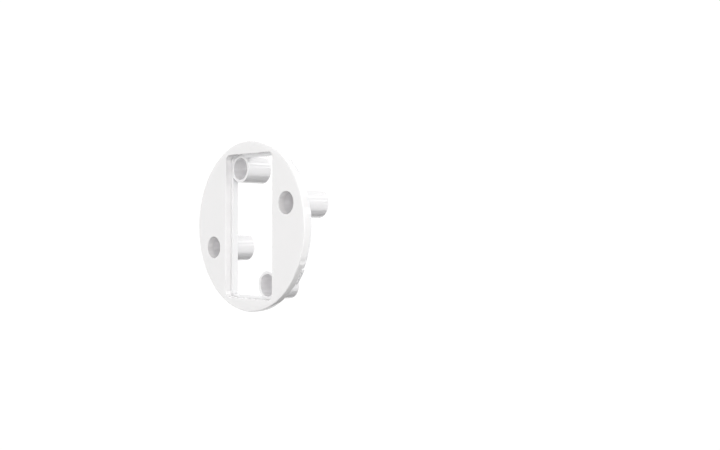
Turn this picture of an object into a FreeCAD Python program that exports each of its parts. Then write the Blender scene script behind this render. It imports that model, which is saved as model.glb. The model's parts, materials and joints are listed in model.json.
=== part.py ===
# Desk grommet insert, in millimetres.
# A round face plate covers the rim of the hole in the desk top. Behind it stand a short
# spigot ring that drops into the hole, a rectangular frame round the cable opening, the
# ribs, webs and ties in the two side pockets, and four hollow screw posts.
#
# Origin: on the ring's axis, in the plane of the face plate's back, which seats on the desk.
# +Y runs into the hole, away from the visible face. +Z is the long side of the opening.
import FreeCAD, Part
import math
import os
import Sketcher

Vector = FreeCAD.Vector
doc = FreeCAD.newDocument("DeskGrommet")

# Driving dimensions ---------------------------------------------------------------------

driving = {
    "deskHoleDiameter": 80.0,       # the hole that the ring drops into
    "deskHoleClearance": 0.4,       # ring to hole, each side
    "flangeOverlap": 2.0,           # face plate beyond the hole, each side
    "plateThickness": 3.4,
    "rimRound": 0.4,                # front edge of the face plate
    "ringThickness": 1.2,
    "ringHeight": 3.6,
    "ringLeadIn": 0.4,              # chamfer round the ring's free edge
    "postStandoff": 2.15,           # long post to cable frame, in the side pocket
    "frameThickness": 2.75,
    "wallHeight": 3.1,              # frame, ribs, webs and ties
    "ledgeWidth": 1.65,             # frame stands inside the face plate's opening by this
    "openingCornerRadius": 3.0,
    "frameRingMargin": 0.45,        # frame's inner corners to the ring's bore
    "grooveWidth": 2.4,             # between frame and rib
    "ribThickness": 2.4,
    "wellDiameter": 11.0,           # takes the screw's head and the driver
    "postWall": 1.45,
    "postFloor": 2.5,               # what the screw's head pulls on
    "screwHoleDiameter": 5.0,
    "longPostLength": 17.7,
    "shortPostLength": 14.5,
    "postEndChamfer": 0.3,
    "postSeatSide": 1.1,            # short post let into the frame's side wall
    "postSeatEnd": 1.6,             # and into its end wall
    "webBelowPost": 0.4,            # web's outer side beyond the long post
    "webThickness": 3.5,
    "tieThickness": 2.4,            # between a long post and the ring
    "lugReach": 1.2,                # snap lug beyond the ring
    "lugRoot": 0.3,                 # lug's hold inside the ring's wall
    "lugStart": 1.4,                # lug's catch, above the seat
    "lugCrestStart": 2.0,
    "lugCrestEnd": 2.7,
    "lugSpan": 12.0,                # degrees
    "upperLugAngle": 45.0,
    "lowerLugAngle": 143.5,
}

# Sizes that follow from the driving ones
derived = {
    "ringRadius": "deskHoleDiameter / 2 - deskHoleClearance",
    "flangeRadius": "deskHoleDiameter / 2 + flangeOverlap",
    "trimRadius": "2 * flangeRadius",
    "boreRadius": "ringRadius - ringThickness",
    "wellRadius": "wellDiameter / 2",
    "screwHoleRadius": "screwHoleDiameter / 2",
    "postRadius": "wellRadius + postWall",
    # From the frame's inner corner to the ring, less the post's place: with it the long post
    # stands the stated distance clear of the frame while all four posts share one circle.
    "cornerToPost": "frameThickness + postStandoff + 2 * postRadius - postSeatEnd + frameRingMargin",
    "frameHalfWidth": "(sqrt(2 * boreRadius ^ 2 - cornerToPost ^ 2) - cornerToPost) / 2",
    "frameOuterHalfWidth": "frameHalfWidth + frameThickness",
    "frameHalfHeight": "sqrt(boreRadius ^ 2 - frameHalfWidth ^ 2) - frameRingMargin",
    "frameOuterHalfHeight": "frameHalfHeight + frameThickness",
    "openingHalfWidth": "frameHalfWidth + ledgeWidth",
    "openingHalfHeight": "frameHalfHeight + ledgeWidth",
    "frameCornerRadius": "openingCornerRadius - ledgeWidth",
    "shortPostX": "postRadius - frameHalfWidth - postSeatSide",
    "shortPostZ": "frameHalfHeight - postRadius + postSeatEnd",
    "longPostX": "shortPostZ",      # a quarter turn from the short posts, on the same circle
    "longPostZ": "-shortPostX",
    "ribInnerX": "frameOuterHalfWidth + grooveWidth",
    "ribOuterX": "ribInnerX + ribThickness",
    "webLowZ": "longPostZ - postRadius - webBelowPost",
    "webHighZ": "webLowZ + webThickness",
    "postCircleRadius": "sqrt(longPostX ^ 2 + longPostZ ^ 2)",
    "tieHalfThickness": "tieThickness / 2",
}

sheet = doc.addObject("Spreadsheet::Sheet", "sizes")
for row, (alias, value) in enumerate(driving.items(), start=1):
    sheet.set("A%d" % row, str(value))
    sheet.setAlias("A%d" % row, alias)
for row, (alias, formula) in enumerate(derived.items(), start=1):
    sheet.set("B%d" % row, "=" + formula)
    sheet.setAlias("B%d" % row, alias)
doc.recompute()


def size(alias):
    return float(getattr(sheet, alias))


# Helpers --------------------------------------------------------------------------------

def newBody(label):
    body = doc.addObject("PartDesign::Body", label)
    body.Label = label
    return body


def newSketch(body, name, role="XZ_Plane"):
    # On XZ_Plane the sketch's x is +X, its y is +Z and its normal is -Y.
    sketch = body.newObject("Sketcher::SketchObject", name)
    plane = [feature for feature in body.Origin.OriginFeatures if feature.Role == role][0]
    sketch.AttachmentSupport = (plane, [""])
    sketch.MapMode = "FlatFace"
    return sketch


def bindConstraint(sketch, constraint, name, expression):
    index = sketch.addConstraint(constraint)
    sketch.renameConstraint(index, name)
    sketch.setExpression("Constraints." + name, expression)


def addCircle(sketch, name, radius, x=None, y=None):
    # x and y name the sizes that place its centre; without a name it stays on that axis.
    startX = size(x) if x else 0.0
    startY = size(y) if y else 0.0
    circle = sketch.addGeometry(Part.Circle(Vector(startX, startY, 0), Vector(0, 0, 1), size(radius)))
    if x:
        across = Sketcher.Constraint("DistanceX", -1, 1, circle, 3, startX)
        bindConstraint(sketch, across, name + "X", "sizes." + x)
    else:
        sketch.addConstraint(Sketcher.Constraint("PointOnObject", circle, 3, -2))
    if y:
        along = Sketcher.Constraint("DistanceY", -1, 1, circle, 3, startY)
        bindConstraint(sketch, along, name + "Y", "sizes." + y)
    else:
        sketch.addConstraint(Sketcher.Constraint("PointOnObject", circle, 3, -1))
    bindConstraint(sketch, Sketcher.Constraint("Radius", circle, size(radius)),
                   name + "Radius", "sizes." + radius)


def addPolygon(sketch, name, corners):
    # Each corner is a pair of (value, expression) pairs, measured from the sketch's origin.
    points = [Vector(x[0], y[0], 0) for x, y in corners]
    count = len(points)
    first = sketch.GeometryCount
    for index in range(count):
        sketch.addGeometry(Part.LineSegment(points[index], points[(index + 1) % count]))
    for index in range(count):
        following = first + (index + 1) % count
        sketch.addConstraint(Sketcher.Constraint("Coincident", first + index, 2, following, 1))
    for index, (x, y) in enumerate(corners):
        line = first + index
        label = "%s%d" % (name, index)
        across = Sketcher.Constraint("DistanceX", -1, 1, line, 1, x[0])
        bindConstraint(sketch, across, label + "X", x[1])
        along = Sketcher.Constraint("DistanceY", -1, 1, line, 1, y[0])
        bindConstraint(sketch, along, label + "Y", y[1])


def measure(alias, sign=1):
    text = "sizes." + alias
    return (sign * size(alias), text if sign > 0 else "-" + text)


def addBox(sketch, name, lowX, highX, lowY, highY):
    addPolygon(sketch, name, [(lowX, lowY), (highX, lowY), (highX, highY), (lowX, highY)])


def addCentredBox(sketch, name, halfWidth, halfHeight):
    addBox(sketch, name, measure(halfWidth, -1), measure(halfWidth),
           measure(halfHeight, -1), measure(halfHeight))


def extrude(body, kind, name, sketch, length=None, reverse=False):
    # kind is Pad or Pocket. Without a length a pocket goes right through, both ways.
    feature = body.newObject("PartDesign::" + kind, name)
    feature.Profile = sketch
    if length:
        feature.setExpression("Length", length)
        feature.Reversed = reverse
    else:
        feature.Type = 1
        feature.Midplane = True
    doc.recompute()
    return feature


def edgesOf(feature, test):
    return ["Edge%d" % number for number, edge in enumerate(feature.Shape.Edges, start=1) if test(edge)]


def dress(body, kind, name, base, test, prop, alias):
    # kind is Fillet or Chamfer, on the base's edges that pass the test.
    feature = body.newObject("PartDesign::" + kind, name)
    feature.Base = (base, edgesOf(base, test))
    feature.setExpression(prop, "sizes." + alias)
    doc.recompute()
    return feature


def isCircle(edge, radius, y):
    if not isinstance(edge.Curve, Part.Circle):
        return False
    return abs(edge.Curve.Radius - radius) < 1e-4 and abs(edge.BoundBox.Center.y - y) < 1e-4


def isCorner(edge, x, z):
    # A straight edge along Y that passes through (+-x, +-z)
    box = edge.BoundBox
    straight = box.XLength < 1e-4 and box.ZLength < 1e-4
    return straight and abs(abs(box.Center.x) - x) < 1e-3 and abs(abs(box.Center.z) - z) < 1e-3


def turn(body, degrees):
    # Round the ring's axis, from +X towards +Z.
    body.Placement = FreeCAD.Placement(Vector(), FreeCAD.Rotation(Vector(0, 1, 0), -degrees))


# Sub-parts ------------------------------------------------------------------------------

def makeFacePlate():
    body = newBody("face_plate")
    disc = newSketch(body, "PlateDisc")
    addCircle(disc, "rim", "flangeRadius")
    plate = extrude(body, "Pad", "Plate", disc, "sizes.plateThickness")

    opening = newSketch(body, "PlateOpening")
    addCentredBox(opening, "opening", "openingHalfWidth", "openingHalfHeight")
    cut = extrude(body, "Pocket", "CableOpening", opening)
    corners = dress(body, "Fillet", "OpeningCorners", cut,
                    lambda edge: isCorner(edge, size("openingHalfWidth"), size("openingHalfHeight")),
                    "Radius", "openingCornerRadius")

    wells = newSketch(body, "PlateWells")
    addCircle(wells, "well", "wellRadius", "longPostX", "longPostZ")
    mouth = extrude(body, "Pocket", "WellMouth", wells)
    pair = body.newObject("PartDesign::PolarPattern", "WellMouths")
    pair.Originals = [mouth]
    pair.Axis = (wells, ["N_Axis"])
    pair.Occurrences = 2
    body.Tip = pair
    doc.recompute()

    front = -size("plateThickness")
    dress(body, "Fillet", "RimRound", pair, lambda edge: isCircle(edge, size("flangeRadius"), front),
          "Radius", "rimRound")
    return body


def addLug(body, name, angle):
    # One snap lug on the ring and its twin on the far side.
    profile = newSketch(body, name + "Profile", "XY_Plane")
    profile.AttachmentOffset = FreeCAD.Placement(Vector(), FreeCAD.Rotation(Vector(0, 1, 0), -size(angle)))
    root = (size("ringRadius") - size("lugRoot"), "sizes.ringRadius - sizes.lugRoot")
    crest = (size("ringRadius") + size("lugReach"), "sizes.ringRadius + sizes.lugReach")
    addPolygon(profile, "lug", [(root, measure("lugStart")), (crest, measure("lugCrestStart")),
                                (crest, measure("lugCrestEnd")), (root, measure("ringHeight"))])
    lug = body.newObject("PartDesign::Revolution", name)
    lug.Profile = profile
    lug.ReferenceAxis = (profile, ["V_Axis"])
    lug.Midplane = True
    lug.setExpression("Angle", "sizes.lugSpan * 1 deg")
    doc.recompute()
    pair = body.newObject("PartDesign::PolarPattern", name + "Pair")
    pair.Originals = [lug]
    pair.Axis = (profile, ["V_Axis"])
    pair.Occurrences = 2
    body.Tip = pair
    doc.recompute()
    return pair


def makeSpigotRing():
    body = newBody("spigot_ring")
    section = newSketch(body, "RingSection", "XY_Plane")
    addBox(section, "ring", measure("boreRadius"), measure("ringRadius"), (0.0, "0"), measure("ringHeight"))
    ring = body.newObject("PartDesign::Revolution", "Ring")
    ring.Profile = section
    ring.ReferenceAxis = (section, ["V_Axis"])
    ring.Angle = 360
    doc.recompute()
    dress(body, "Chamfer", "LeadIn", ring,
          lambda edge: isCircle(edge, size("ringRadius"), size("ringHeight")), "Size", "ringLeadIn")
    addLug(body, "UpperLug", "upperLugAngle")
    addLug(body, "LowerLug", "lowerLugAngle")
    return body


def trimToBore(body, name):
    # Takes off whatever reaches past the ring's bore.
    outside = newSketch(body, name)
    addCircle(outside, "bore", "boreRadius")
    addCircle(outside, "beyond", "trimRadius")
    return extrude(body, "Pocket", name + "Cut", outside)


def makeCableFrame():
    body = newBody("cable_frame")
    outline = newSketch(body, "FrameOutline")
    addCentredBox(outline, "outer", "frameOuterHalfWidth", "frameOuterHalfHeight")
    addCentredBox(outline, "inner", "frameHalfWidth", "frameHalfHeight")
    walls = extrude(body, "Pad", "FrameWalls", outline, "sizes.wallHeight", reverse=True)
    dress(body, "Fillet", "FrameCorners", walls,
          lambda edge: isCorner(edge, size("frameHalfWidth"), size("frameHalfHeight")),
          "Radius", "frameCornerRadius")
    trimToBore(body, "FrameTrim")

    # The two short posts are let into the frame's corners.
    circle = newSketch(body, "PostSeat")
    addCircle(circle, "seat", "postRadius", "shortPostX", "shortPostZ")
    seat = extrude(body, "Pocket", "PostSeatCut", circle)
    pair = body.newObject("PartDesign::PolarPattern", "PostSeats")
    pair.Originals = [seat]
    pair.Axis = (circle, ["N_Axis"])
    pair.Occurrences = 2
    body.Tip = pair
    doc.recompute()
    return body


def cutPostSeat(body, label, x, z):
    # Opens a wall for the post that stands through it.
    foot = newSketch(body, label + "Foot")
    addCircle(foot, "foot", "postRadius", x, z)
    extrude(body, "Pocket", label + "FootCut", foot)


def makePostWeb(label):
    # A straight wall from the frame to the ring, across the groove and along the post's side.
    body = newBody(label)
    outline = newSketch(body, label + "Outline")
    addBox(outline, "web", measure("frameOuterHalfWidth"), measure("flangeRadius"),
           measure("webLowZ"), measure("webHighZ"))
    extrude(body, "Pad", label + "Pad", outline, "sizes.wallHeight", reverse=True)
    cutPostSeat(body, label, "longPostX", "longPostZ")
    trimToBore(body, label + "Trim")
    return body


def makePostTie(label):
    # A short wall that joins a long post to the ring where the two come closest.
    body = newBody(label)
    outline = newSketch(body, label + "Outline")
    addBox(outline, "tie", measure("postCircleRadius"), measure("flangeRadius"),
           measure("tieHalfThickness", -1), measure("tieHalfThickness"))
    extrude(body, "Pad", label + "Pad", outline, "sizes.wallHeight", reverse=True)
    cutPostSeat(body, label, "postCircleRadius", None)
    trimToBore(body, label + "Trim")
    return body


def makeLongRib(label):
    # The straight wall from the web to the ring, on the side away from the post.
    body = newBody(label)
    outline = newSketch(body, label + "Outline")
    addBox(outline, "rib", measure("ribInnerX"), measure("ribOuterX"),
           measure("flangeRadius", -1), measure("webLowZ"))
    extrude(body, "Pad", label + "Pad", outline, "sizes.wallHeight", reverse=True)
    trimToBore(body, label + "Trim")
    return body


def makeShortRib(label):
    # The same wall beyond the post: it runs from the post's side to the ring.
    body = newBody(label)
    outline = newSketch(body, label + "Outline")
    addBox(outline, "rib", measure("ribInnerX"), measure("ribOuterX"),
           measure("longPostZ"), measure("flangeRadius"))
    extrude(body, "Pad", label + "Pad", outline, "sizes.wallHeight", reverse=True)
    cutPostSeat(body, label, "longPostX", "longPostZ")
    trimToBore(body, label + "Trim")
    return body


def makeScrewPost(label, length, x, z):
    # Hollow from the face side, with a floor at the far end and the screw's hole through it.
    body = newBody(label)
    circle = newSketch(body, label + "Circle")
    addCircle(circle, "post", "postRadius")
    post = extrude(body, "Pad", label + "Pad", circle, "sizes." + length, reverse=True)
    dress(body, "Chamfer", label + "End", post,
          lambda edge: isCircle(edge, size("postRadius"), size(length)), "Size", "postEndChamfer")
    mouth = newSketch(body, label + "Well")
    addCircle(mouth, "well", "wellRadius")
    extrude(body, "Pocket", label + "WellCut", mouth, "sizes.%s - sizes.postFloor" % length)
    hole = newSketch(body, label + "Hole")
    addCircle(hole, "hole", "screwHoleRadius")
    extrude(body, "Pocket", label + "HoleCut", hole)
    body.setExpression("Placement.Base.x", x[1])
    body.setExpression("Placement.Base.z", z[1])
    return body


# Assembly -------------------------------------------------------------------------------

subParts = [makeFacePlate(), makeSpigotRing(), makeCableFrame()]
postAngle = math.degrees(math.atan2(size("longPostZ"), size("longPostX")))
for side, sign, halfTurn in (("right", 1, 0), ("left", -1, 180)):
    walls = [makePostWeb("post_web_" + side), makeLongRib("rib_long_" + side)]
    walls.append(makeShortRib("rib_short_" + side))
    for body in walls:
        turn(body, halfTurn)
    tie = makePostTie("post_tie_" + side)
    turn(tie, halfTurn + postAngle)
    longPost = makeScrewPost("long_screw_post_" + side, "longPostLength",
                             measure("longPostX", sign), measure("longPostZ", sign))
    subParts += walls + [tie, longPost]
for place, sign in (("top", 1), ("bottom", -1)):
    subParts.append(makeScrewPost("short_screw_post_" + place, "shortPostLength",
                                  measure("shortPostX", sign), measure("shortPostZ", sign)))
doc.recompute()

# Check and write ------------------------------------------------------------------------

for item in doc.Objects:
    if "Invalid" in item.State or "Error" in item.State:
        raise RuntimeError("%s failed: %s" % (item.Name, item.State))
for body in subParts:
    if body.Shape.isNull() or not body.Shape.isValid() or not body.Shape.Solids:
        raise RuntimeError(body.Label + " has no valid solid")

os.makedirs("parts", exist_ok=True)
for body in subParts:
    body.Shape.exportStep("parts/%s.step" % body.Label)
    box = body.Shape.BoundBox
    print("%-26s solids %d  volume %8.1f  x %6.2f..%6.2f  y %6.2f..%6.2f  z %6.2f..%6.2f"
          % (body.Label, len(body.Shape.Solids), body.Shape.Volume,
             box.XMin, box.XMax, box.YMin, box.YMax, box.ZMin, box.ZMax))
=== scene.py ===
import bpy
import bmesh
import json
import math
from mathutils import Matrix, Vector

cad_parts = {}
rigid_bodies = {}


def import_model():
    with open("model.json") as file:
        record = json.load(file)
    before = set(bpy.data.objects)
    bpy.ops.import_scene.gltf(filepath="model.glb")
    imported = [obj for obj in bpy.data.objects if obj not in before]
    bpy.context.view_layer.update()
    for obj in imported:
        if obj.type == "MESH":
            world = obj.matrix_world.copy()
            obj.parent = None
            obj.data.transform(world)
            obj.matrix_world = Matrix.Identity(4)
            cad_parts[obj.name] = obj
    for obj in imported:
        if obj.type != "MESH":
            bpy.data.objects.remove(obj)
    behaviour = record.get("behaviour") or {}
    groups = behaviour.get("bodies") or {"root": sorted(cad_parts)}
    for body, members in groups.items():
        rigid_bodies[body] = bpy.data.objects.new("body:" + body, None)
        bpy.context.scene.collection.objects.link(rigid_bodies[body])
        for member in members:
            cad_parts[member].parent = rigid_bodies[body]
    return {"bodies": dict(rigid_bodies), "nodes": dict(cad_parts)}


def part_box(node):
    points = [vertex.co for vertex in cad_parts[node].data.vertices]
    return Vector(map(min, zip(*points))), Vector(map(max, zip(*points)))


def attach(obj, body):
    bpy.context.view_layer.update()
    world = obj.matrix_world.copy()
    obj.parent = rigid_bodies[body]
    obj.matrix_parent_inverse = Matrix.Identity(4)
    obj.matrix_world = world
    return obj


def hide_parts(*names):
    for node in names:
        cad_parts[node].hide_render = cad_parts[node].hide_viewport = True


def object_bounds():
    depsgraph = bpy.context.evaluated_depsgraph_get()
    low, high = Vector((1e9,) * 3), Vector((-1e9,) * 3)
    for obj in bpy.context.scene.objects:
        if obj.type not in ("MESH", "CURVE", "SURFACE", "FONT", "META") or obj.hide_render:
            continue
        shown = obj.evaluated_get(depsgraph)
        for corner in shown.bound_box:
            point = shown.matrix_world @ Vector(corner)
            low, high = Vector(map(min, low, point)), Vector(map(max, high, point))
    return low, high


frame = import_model()
cadLow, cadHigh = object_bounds()
body = list(frame["bodies"])[0]
print("frame loaded:", len(frame["nodes"]), "nodes")

mm = 0.001
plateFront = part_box("face_plate")[0].y
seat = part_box("face_plate")[1].y          # the face plate's back, y = 0


# Node and colour helpers

def toLinear(hexColour):
    # sRGB hex to linear RGBA
    channels = [int(hexColour[i:i + 2], 16) / 255 for i in (1, 3, 5)]
    linear = [c / 12.92 if c <= 0.04045 else ((c + 0.055) / 1.055) ** 2.4 for c in channels]
    return (*linear, 1.0)


def addNode(tree, kind, settings=None, links=None):
    # settings: attribute or input name to value; links: input name to (node, output name)
    node = tree.nodes.new("ShaderNode" + kind)
    for name, value in (settings or {}).items():
        if name in node.inputs:
            node.inputs[name].default_value = value
        else:
            setattr(node, name, value)
    for name, (source, output) in (links or {}).items():
        tree.links.new(source.outputs[output], node.inputs[name])
    return node


# White ABS, injection moulded in a polished tool: a glossy skin with a very slight orange peel,
# and a touch of light inside the wall. The core pins that form the screw wells aren't polished,
# so the wells are duller. Their darker grey is painted shade for the deep recess, not the plastic's
# own colour.

moulding = {
    "faceColour": "#FBF8F8",
    "carrierColour": "#F8F8FA",
    # the posts' greyer white, against the rest of the same moulding, is painted shade
    "postColour": "#F2F1F2",
    # the wells' darker grey is painted shade for the deep recess
    "wellColour": "#D8DCDD",
    "shade": 0.03,           # how far the colour drifts over the part
    "driftSize": 18 * mm,
    "driftDetail": 2.0,
    "ior": 1.53,
    "depth": 1.0 * mm,       # how far light travels under the skin
    "spread": (1.0, 1.0, 1.0),
    "translucency": 0.6,
    "roughness": 0.12,
    "wellRoughness": 0.42,
    "coat": 1.0,             # the dense skin that freezes against the polished tool
    "wellCoat": 0.0,
    "coatIor": 2.6,          # well over the plastic's own, for crisp bright reflections
    "coatRoughness": 0.02,
    "peelSize": 1.6 * mm,    # one wave of the orange peel
    "peelDepth": 0.0012 * mm,
    "peelDetail": 1.0,
    "scuffSize": 7.0 * mm,
    "scuffDetail": 6.0,
    "scuffGrain": 0.65,
    "scuffRange": (0.35, 0.7),
    "glossRange": (0.8, 1.35),    # share of the roughness between scuffs, and on them
}


def makeMouldedAbs(name, colour, roughness, coat):
    material = bpy.data.materials.new(name)
    material.use_nodes = True
    tree = material.node_tree
    tree.nodes.clear()
    coords = addNode(tree, "TexCoord")
    drift = addNode(tree, "TexNoise",
                    {"Scale": 1 / moulding["driftSize"], "Detail": moulding["driftDetail"]},
                    {"Vector": (coords, "Object")})
    base = toLinear(colour)
    darker = tuple(c * (1 - moulding["shade"]) for c in base[:3]) + (1.0,)
    tint = addNode(tree, "Mix", {"data_type": "RGBA"})    # colours are inputs 6, 7 and output 2
    tint.inputs[6].default_value = darker
    tint.inputs[7].default_value = base
    tree.links.new(drift.outputs["Fac"], tint.inputs[0])
    scuffs = addNode(tree, "TexNoise",
                     {"Scale": 1 / moulding["scuffSize"], "Detail": moulding["scuffDetail"],
                      "Roughness": moulding["scuffGrain"]},
                     {"Vector": (coords, "Object")})
    scuffLow, scuffHigh = moulding["scuffRange"]
    glossLow, glossHigh = moulding["glossRange"]
    gloss = addNode(tree, "MapRange",
                    {"From Min": scuffLow, "From Max": scuffHigh,
                     "To Min": roughness * glossLow, "To Max": roughness * glossHigh},
                    {"Value": (scuffs, "Fac")})
    peel = addNode(tree, "TexNoise",
                   {"Scale": 1 / moulding["peelSize"], "Detail": moulding["peelDetail"]},
                   {"Vector": (coords, "Object")})
    bump = addNode(tree, "Bump", {"Strength": 1.0, "Distance": moulding["peelDepth"]},
                   {"Height": (peel, "Fac")})
    shader = addNode(tree, "BsdfPrincipled",
                     {"IOR": moulding["ior"], "Coat Weight": coat,
                      "Subsurface Weight": moulding["translucency"],
                      "Subsurface Scale": moulding["depth"],
                      "Subsurface Radius": moulding["spread"],
                      "Coat IOR": moulding["coatIor"],
                      "Coat Roughness": moulding["coatRoughness"]},
                     {"Roughness": (gloss, "Result"), "Normal": (bump, "Normal")})
    tree.links.new(tint.outputs[2], shader.inputs["Base Color"])
    addNode(tree, "OutputMaterial", {}, {"Surface": (shader, "BSDF")})
    return material


polished = moulding["roughness"], moulding["coat"]
faceAbs = makeMouldedAbs("mouldedAbsFace", moulding["faceColour"], *polished)
carrierAbs = makeMouldedAbs("mouldedAbsCarrier", moulding["carrierColour"], *polished)
# The posts' material is a darker copy of the same plastic: painted shade.
postAbsPaintedShade = makeMouldedAbs("mouldedAbsPost", moulding["postColour"], *polished)
# The wells take a darker grey: painted shade in the recess, on top of the duller finish.
wellAbsPaintedShade = makeMouldedAbs("unpolishedAbsWell", moulding["wellColour"], moulding["wellRoughness"],
                         moulding["wellCoat"])
print("materials ready")


# Pieces

edges = {
    "radius": 0.14 * mm,      # tool radius on outer edges
    "segments": 3,
    "profile": 0.5,           # a circular arc
    "sharpAngle": math.radians(28),
    "flatAngle": math.radians(0.4),
    "weld": 0.002 * mm,       # corners of the CAD mesh this close are one
    "merge": 0.0005 * mm,     # and this close after rounding
    "sliver": 0.0001 * mm ** 2,
    "reach": 0.01 * mm,       # how near to the seat a corner counts as on it
    "margin": 0.5 * mm,       # a little over the rounding that the plate's front rim already has
    "normalWeight": 50,
}

wells = {
    "radius": 5.5 * mm,
    "endFacing": 0.5,         # a face that leans this far to the back is a post's end
    "axes": [(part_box(n)[0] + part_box(n)[1]) / 2 for n in frame["nodes"] if "screw_post" in n],
}


def isInWell(face):
    # Any face inside a screw well but the post's end, which looks away from the plate
    middle = face.calc_center_median()
    return face.normal.y < wells["endFacing"] and any(
        math.hypot(middle.x - a.x, middle.z - a.z) < wells["radius"] for a in wells["axes"])


def onRoundedRim(edge):
    rim = cadHigh.x - edges["margin"]
    front = plateFront + edges["margin"]
    return all(math.hypot(v.co.x, v.co.z) > rim and v.co.y < front for v in edge.verts)


def softenNode(node, name, material, skip=lambda edge: False):
    # The node's own shape with moulded edges in place of knife edges. The edges that skip picks
    # meet another piece of the same moulding, so they stay crisp.
    mesh = frame["nodes"][node].data.copy()
    mesh.name = name
    work = bmesh.new()
    work.from_mesh(mesh)
    bmesh.ops.remove_doubles(work, verts=work.verts, dist=edges["weld"])
    bmesh.ops.dissolve_limit(work, angle_limit=edges["flatAngle"], verts=work.verts,
                             edges=work.edges)
    sharp = []
    for edge in work.edges:
        if len(edge.link_faces) != 2:
            continue
        if edge.calc_face_angle(0) < edges["sharpAngle"] or onRoundedRim(edge):
            continue
        if skip(edge):
            edge.smooth = False
            continue
        sharp.append(edge)
    bmesh.ops.bevel(work, geom=sharp, offset=edges["radius"], offset_type="OFFSET",
                    segments=edges["segments"], profile=edges["profile"], affect="EDGES",
                    clamp_overlap=True)
    bmesh.ops.remove_doubles(work, verts=work.verts, dist=edges["merge"])
    bmesh.ops.triangulate(work, faces=work.faces)
    # The rounding can leave a pair of flat slivers back to back on an edge: they are taken out.
    slivers = [f for f in work.faces if f.calc_area() < edges["sliver"]
               and any(len(e.link_faces) > 2 for e in f.edges)]
    bmesh.ops.delete(work, geom=slivers, context="FACES_ONLY")
    work.normal_update()
    for face in work.faces:
        face.smooth = True
        # faces inside a well take the darker grey: painted shade
        face.material_index = 1 if isInWell(face) else 0
    work.to_mesh(mesh)
    work.free()
    mesh.materials.clear()
    mesh.materials.append(material)
    mesh.materials.append(wellAbsPaintedShade)
    piece = bpy.data.objects.new(name, mesh)
    bpy.context.scene.collection.objects.link(piece)
    normals = piece.modifiers.new("flatFaces", "WEIGHTED_NORMAL")
    normals.keep_sharp = True
    normals.weight = edges["normalWeight"]
    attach(piece, body)
    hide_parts(node)


def onSeat(edge):
    return all(abs(v.co.y - seat) < edges["reach"] for v in edge.verts)


def onSeatInside(edge):
    # The plate's back edge is free all round its rim, and meets other pieces everywhere inside it.
    rim = cadHigh.x - edges["margin"]
    return onSeat(edge) and all(math.hypot(v.co.x, v.co.z) < rim for v in edge.verts)


softenNode("face_plate", "facePlate", faceAbs, onSeatInside)
for node in frame["nodes"]:
    if node == "face_plate":
        continue
    words = node.split("_")
    name = words[0] + "".join(w.capitalize() for w in words[1:])
    isPost = "screw_post" in node
    # posts take the greyer copy: painted shade
    material, slotName = (postAbsPaintedShade, "post_abs") if isPost else (carrierAbs, "carrier_abs")
    if node.startswith("short_screw"):
        softenNode(node, name, material)      # it starts in plain sight, with free edges
    else:
        softenNode(node, name, material, onSeat)
print("pieces ready")


# Stage: a pale floor that sweeps up into a round wall. It glows by itself: painted light, dimmer on
# the floor near the part and brighter up the wall.

stage = {
    "floorBelow": 0.30,         # the floor lies this far under the part
    "innerRadius": 0.35,
    "middleRadius": 0.8,
    "floorRadius": 1.6,
    "sweepRadius": 0.6,
    "sweepSteps": 16,
    "wallTop": 2.4,
    "steps": 96,
    "floorTone": 0.80,          # near the part
    "wallTone": 1.05,
    "toneStart": 0.45,
    "toneEnd": 0.95,
}


def makeStage():
    floorZ = cadLow.z - stage["floorBelow"]
    profile = [(stage[k], floorZ) for k in ("innerRadius", "middleRadius", "floorRadius")]
    sweep = stage["sweepRadius"]
    for step in range(1, stage["sweepSteps"] + 1):
        angle = math.pi / 2 * step / stage["sweepSteps"]
        reach = stage["floorRadius"] + sweep * math.sin(angle)
        profile.append((reach, floorZ + sweep * (1 - math.cos(angle))))
    profile.append((stage["floorRadius"] + sweep, stage["wallTop"]))
    work = bmesh.new()
    rings = []
    for radius, z in profile:
        turn = [2 * math.pi * k / stage["steps"] for k in range(stage["steps"])]
        rings.append([work.verts.new((radius * math.cos(t), radius * math.sin(t), z))
                      for t in turn])
    work.faces.new(rings[0]).smooth = True
    for low, high in zip(rings, rings[1:]):
        for k in range(stage["steps"]):
            following = (k + 1) % stage["steps"]
            work.faces.new([low[following], low[k], high[k], high[following]]).smooth = True
    mesh = bpy.data.meshes.new("studioSweep")
    work.to_mesh(mesh)
    work.free()
    obj = bpy.data.objects.new("studioSweep", mesh)
    bpy.context.scene.collection.objects.link(obj)
    material = bpy.data.materials.new("paintedSweep")
    material.use_nodes = True
    tree = material.node_tree
    tree.nodes.clear()
    coords = addNode(tree, "TexCoord")
    flat = addNode(tree, "VectorMath", {"operation": "MULTIPLY"}, {"Vector": (coords, "Object")})
    flat.inputs[1].default_value = (1, 1, 0)
    outward = addNode(tree, "VectorMath", {"operation": "LENGTH"})
    tree.links.new(flat.outputs[0], outward.inputs[0])
    glow = addNode(tree, "MapRange",
                   {"interpolation_type": "SMOOTHSTEP",
                    "From Min": stage["toneStart"], "From Max": stage["toneEnd"],
                    "To Min": stage["floorTone"], "To Max": stage["wallTone"]},
                   {"Value": (outward, "Value")})
    # The emission is painted light: dimmer near the part, brighter towards the wall.
    emit = addNode(tree, "Emission", {"Color": toLinear("#FFFFFF")}, {"Strength": (glow, "Result")})
    addNode(tree, "OutputMaterial", {}, {"Surface": (emit, "Emission")})
    mesh.materials.append(material)
    # The sweep is only a backdrop: it lights nothing, and nothing reflects it.
    obj.visible_diffuse = False
    obj.visible_glossy = False
    obj.visible_shadow = False


makeStage()


# Light: a studio of white flats round the part, strip softboxes above and an unlit floor under it.
# Each stop is the sine of a height above the horizon, and the brightness there.

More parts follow.
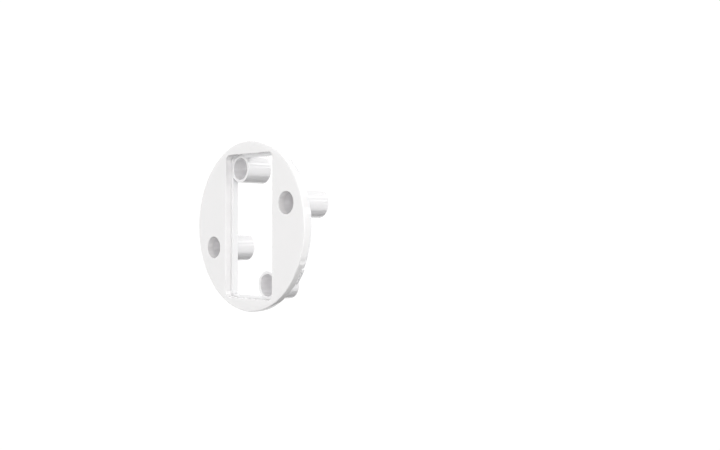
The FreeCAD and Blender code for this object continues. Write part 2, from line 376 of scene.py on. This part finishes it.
light = {
    "studio": {
        "unlitFloor": (-0.645, 0.02),
        "floorEdge": (-0.63, 0.02),
        "sheetEdge": (-0.62, 1.25),
        "sheet": (-0.585, 1.25),
        "sheetGap": (-0.575, 0.50),
        "gapEnd": (-0.535, 0.50),
        "flatFoot": (-0.525, 1.05),
        "flats": (0.0, 1.15),
        "flatTop": (0.21, 1.15),
        "stripLow": (0.24, 2.2),
        "stripLowEnd": (0.29, 2.2),
        "gapAbove": (0.32, 1.10),
        "gapAboveEnd": (0.50, 1.10),
        "stripHigh": (0.54, 2.2),
        "stripHighEnd": (0.60, 2.2),
        "ceiling": (0.66, 1.25),
        "zenith": (1.0, 1.15),
    },
    "peak": 2.4,                  # brighter than any stop
    "strength": 0.75,
    "softboxes": {
        "keySoftbox": {"place": (0.62, -0.60, 0.30), "size": 0.7, "power": 1.2, "reflected": True},
        "rearSoftbox": {"place": (-0.62, 0.60, 0.25), "size": 0.7, "power": 0.8, "reflected": True},
        "sideSoftbox": {"place": (1.3, 0.35, 0.35), "size": 0.9, "power": 1.6, "reflected": True},
        "floorFill": {"place": (0.2, 0.0, -0.6), "size": 1.2, "power": 1.2, "reflected": False},
    },
}


def makeStudioLight():
    world = bpy.data.worlds.new("whiteStudio")
    world.use_nodes = True
    tree = world.node_tree
    tree.nodes.clear()
    coords = addNode(tree, "TexCoord")
    split = addNode(tree, "SeparateXYZ", {}, {"Vector": (coords, "Generated")})
    height = addNode(tree, "MapRange", {"From Min": -1.0, "From Max": 1.0}, {"Value": (split, "Z")})
    ramp = addNode(tree, "ValToRGB", {}, {"Fac": (height, "Result")})
    stops = sorted(light["studio"].values())
    for index, (sine, bright) in enumerate(stops):
        place = (sine + 1) / 2
        if index < 2:
            stop = ramp.color_ramp.elements[index]
            stop.position = place
        else:
            stop = ramp.color_ramp.elements.new(place)
        tone = bright / light["peak"]
        stop.color = (tone, tone, tone, 1)
    back = addNode(tree, "Background", {"Strength": light["strength"] * light["peak"]},
                   {"Color": (ramp, "Color")})
    addNode(tree, "OutputWorld", {}, {"Surface": (back, "Background")})
    bpy.context.scene.world = world


def addSoftbox(name, setup):
    # A square softbox that faces the part
    data = bpy.data.lights.new(name, "AREA")
    data.shape = "SQUARE"
    data.size = setup["size"]
    data.energy = setup["power"]
    box = bpy.data.objects.new(name, data)
    box.location = setup["place"]
    box.rotation_mode = "QUATERNION"
    box.rotation_quaternion = (-Vector(setup["place"])).to_track_quat("-Z", "Y")
    box.visible_camera = False
    box.visible_glossy = setup["reflected"]
    bpy.context.scene.collection.objects.link(box)


makeStudioLight()
for name, setup in light["softboxes"].items():
    addSoftbox(name, setup)


# Camera

camera = {
    "azimuth": 45.6,
    "elevation": -0.15,
    "roll": 0.15,
    "across": 54.95 * mm,       # the grommet stands this far to the left of the camera's axis
    "below": 0.53 * mm,
    "distance": 452.7 * mm,
    "lens": 46.1,
    "sensor": 36,
    "nearest": 0.01,
    "furthest": 20,
}


def makeCamera():
    a, e, roll = (math.radians(camera[k]) for k in ("azimuth", "elevation", "roll"))
    back = Vector((math.sin(a) * math.cos(e), -math.cos(a) * math.cos(e), math.sin(e)))
    side = Vector((math.cos(a), math.sin(a), 0))
    up = back.cross(side)
    right = side * math.cos(roll) + up * math.sin(roll)
    top = up * math.cos(roll) - side * math.sin(roll)
    faceCentre = Vector((0, plateFront, 0))
    data = bpy.data.cameras.new("camera")
    data.lens = camera["lens"]
    data.sensor_width = camera["sensor"]
    data.clip_start = camera["nearest"]
    data.clip_end = camera["furthest"]
    obj = bpy.data.objects.new("camera", data)
    turn = Matrix((right, top, back)).transposed()
    offset = right * camera["across"] + top * camera["below"] + back * camera["distance"]
    obj.matrix_world = Matrix.Translation(faceCentre + offset) @ turn.to_4x4()
    bpy.context.scene.collection.objects.link(obj)
    bpy.context.scene.camera = obj


makeCamera()

exposure = {
    "gamma": 1.08,            # opens the shadows a little
    "diffuseBounces": 16,     # light passes many times between white walls
    "glossyBounces": 8,
    "allBounces": 24,
}

scene = bpy.context.scene
scene.view_settings.view_transform = "Standard"
scene.view_settings.gamma = exposure["gamma"]
scene.cycles.diffuse_bounces = exposure["diffuseBounces"]
scene.cycles.glossy_bounces = exposure["glossyBounces"]
scene.cycles.max_bounces = exposure["allBounces"]
print("stage, light and camera ready")
